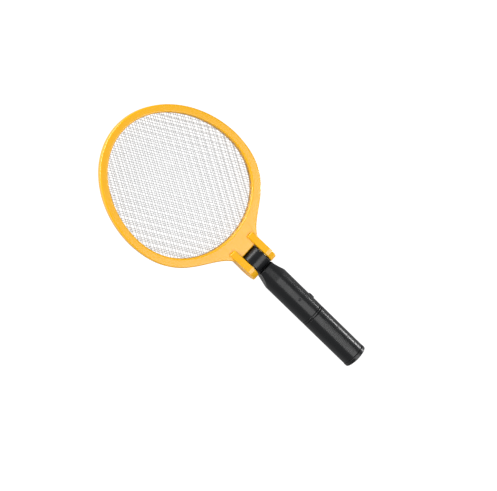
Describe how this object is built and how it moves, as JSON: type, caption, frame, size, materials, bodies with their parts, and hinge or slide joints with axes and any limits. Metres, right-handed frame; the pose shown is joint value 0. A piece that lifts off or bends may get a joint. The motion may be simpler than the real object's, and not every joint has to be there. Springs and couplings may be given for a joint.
{
  "type": "electric fly swatter",
  "caption": "Racket-shaped electric fly swatter: oval orange rim with layered wire grids, hinged to a round black battery handle with a side push button.",
  "frame": {"origin": "bottom centre of the whole object's box as it lies on its back with the head unfolded", "axes": "+Y runs along the handle towards the head's far end, +X is the hinge axis and the push button's side, +Z rises out of the head's front face"},
  "size_m": [0.2098, 0.4642, 0.0366],
  "materials": {
    "orange_plastic": "satin moulded",
    "black_plastic": "glossy moulded",
    "button_plastic": "fine satin",
    "white_plastic": "matt moulded",
    "grid_wire": "bright drawn wire",
    "plated_steel": "zinc plated",
    "brass": "rolled",
    "red_insulation": "soft",
    "black_insulation": "soft",
    "board": "solder resist",
    "yellow_tape": "taped winding",
    "capacitor_resin": "dipped resin",
    "lens": "smoked lens",
    "cell_sleeve": "printed sleeve",
    "rubber": "matt"
  },
  "bodies": {
    "handle": {"front_housing": "black_plastic", "rear_housing": "black_plastic", "housing_screw_1": "plated_steel", "housing_screw_2": "plated_steel", "housing_screw_3": "plated_steel", "slip_ring_right": "brass", "slip_ring_left": "brass", "handle_lead_right": "red_insulation", "handle_lead_left": "black_insulation", "collar_ring": "black_plastic", "grip_tube": "black_plastic", "circuit_board": "board", "transformer": "yellow_tape", "storage_capacitor": "capacitor_resin", "driver_transistor": "black_insulation", "indicator_light": "lens", "tact_switch": "black_insulation", "battery_1": "cell_sleeve", "battery_2": "cell_sleeve", "contact_bulkhead": "white_plastic", "positive_contact": "plated_steel", "negative_contact": "plated_steel", "negative_spring": "plated_steel"},
    "head": {"front_frame": "orange_plastic", "rear_frame": "orange_plastic", "front_grid": "grid_wire", "inner_grid": "grid_wire", "rear_grid": "grid_wire", "front_spacer": "white_plastic", "rear_spacer": "white_plastic", "frame_screw_1": "plated_steel", "frame_screw_2": "plated_steel", "frame_screw_3": "plated_steel", "frame_screw_4": "plated_steel", "frame_screw_5": "plated_steel", "frame_screw_6": "plated_steel", "head_lead_right": "brass", "head_lead_left": "brass", "hinge_bolt": "plated_steel", "hinge_nut": "plated_steel", "ear_cap_right": "orange_plastic", "ear_cap_left": "orange_plastic"},
    "button": {"push_button": "button_plastic", "switch_plunger": "white_plastic"},
    "carrier": {"contact_carrier": "white_plastic", "bridge_contact": "plated_steel", "bridge_spring": "plated_steel", "cap_seal": "rubber"},
    "cap": {"end_cap": "black_plastic"}
  },
  "joints": [
    {"name": "head_fold", "type": "hinge", "parent": "handle", "child": "head", "pos_m": [0, -0.0337, 0.0183], "axis": [1, 0, 0], "range_deg": [-90, 90]},
    {"name": "button_press", "type": "slide", "parent": "handle", "child": "button", "axis": [-1, 0, 0], "range_m": [0, 0.0016], "stiffness_N_per_m": 900, "springref_m": -0.001},
    {"name": "cap_pull", "type": "slide", "parent": "handle", "child": "carrier", "axis": [0, -1, 0], "range_m": [0, 0.022]},
    {"name": "cap_turn", "type": "hinge", "parent": "carrier", "child": "cap", "pos_m": [0, -0.2287, 0.0183], "axis": [0, 1, 0], "range_deg": [0, 40]}
  ]
}
